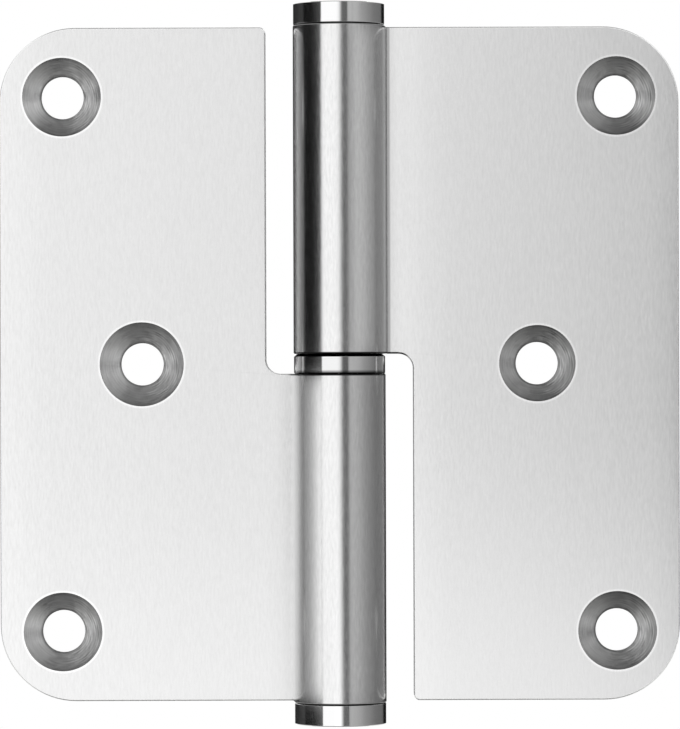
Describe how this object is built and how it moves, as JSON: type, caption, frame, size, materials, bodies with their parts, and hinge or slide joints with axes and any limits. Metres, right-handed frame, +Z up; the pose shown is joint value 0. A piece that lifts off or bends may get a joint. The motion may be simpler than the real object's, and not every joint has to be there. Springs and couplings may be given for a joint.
{
  "type": "lift off hinge",
  "caption": "Stainless lift off door hinge: flat leaves with rounded corners and countersunk holes, rolled knuckles on a fixed pin, a bearing ring between them and turned plugs in the ends.",
  "frame": {"origin": "on the pin's axis, midway between the knuckles, which is the centre of the overall box", "axes": "+Z up the pin's axis, the way the door leaf lifts off; the door leaf reaches to +X and the frame leaf to -X when the hinge is open flat; +Y towards the flat backs of the leaves, so that the countersunk faces look to -Y"},
  "size_m": [0.0898, 0.012, 0.0946],
  "materials": {
    "leaf_steel": "stainless sheet, finely brushed along the height",
    "turned_steel": "turned stainless bar, fine finish"
  },
  "bodies": {
    "frame_side": {"frame_leaf": "leaf_steel", "hinge_pin": "turned_steel", "bottom_cap": "turned_steel"},
    "ring": {"bearing_ring": "turned_steel"},
    "door_side": {"door_leaf": "leaf_steel", "top_cap": "turned_steel"}
  },
  "joints": [
    {"name": "swing", "type": "hinge", "parent": "frame_side", "child": "ring", "pos_m": [0, 0, 0], "axis": [0, 0, 1], "range_deg": [-180, 105]},
    {"name": "lift_off", "type": "slide", "parent": "ring", "child": "door_side", "axis": [0, 0, 1], "range_m": [0, 0.04]}
  ]
}
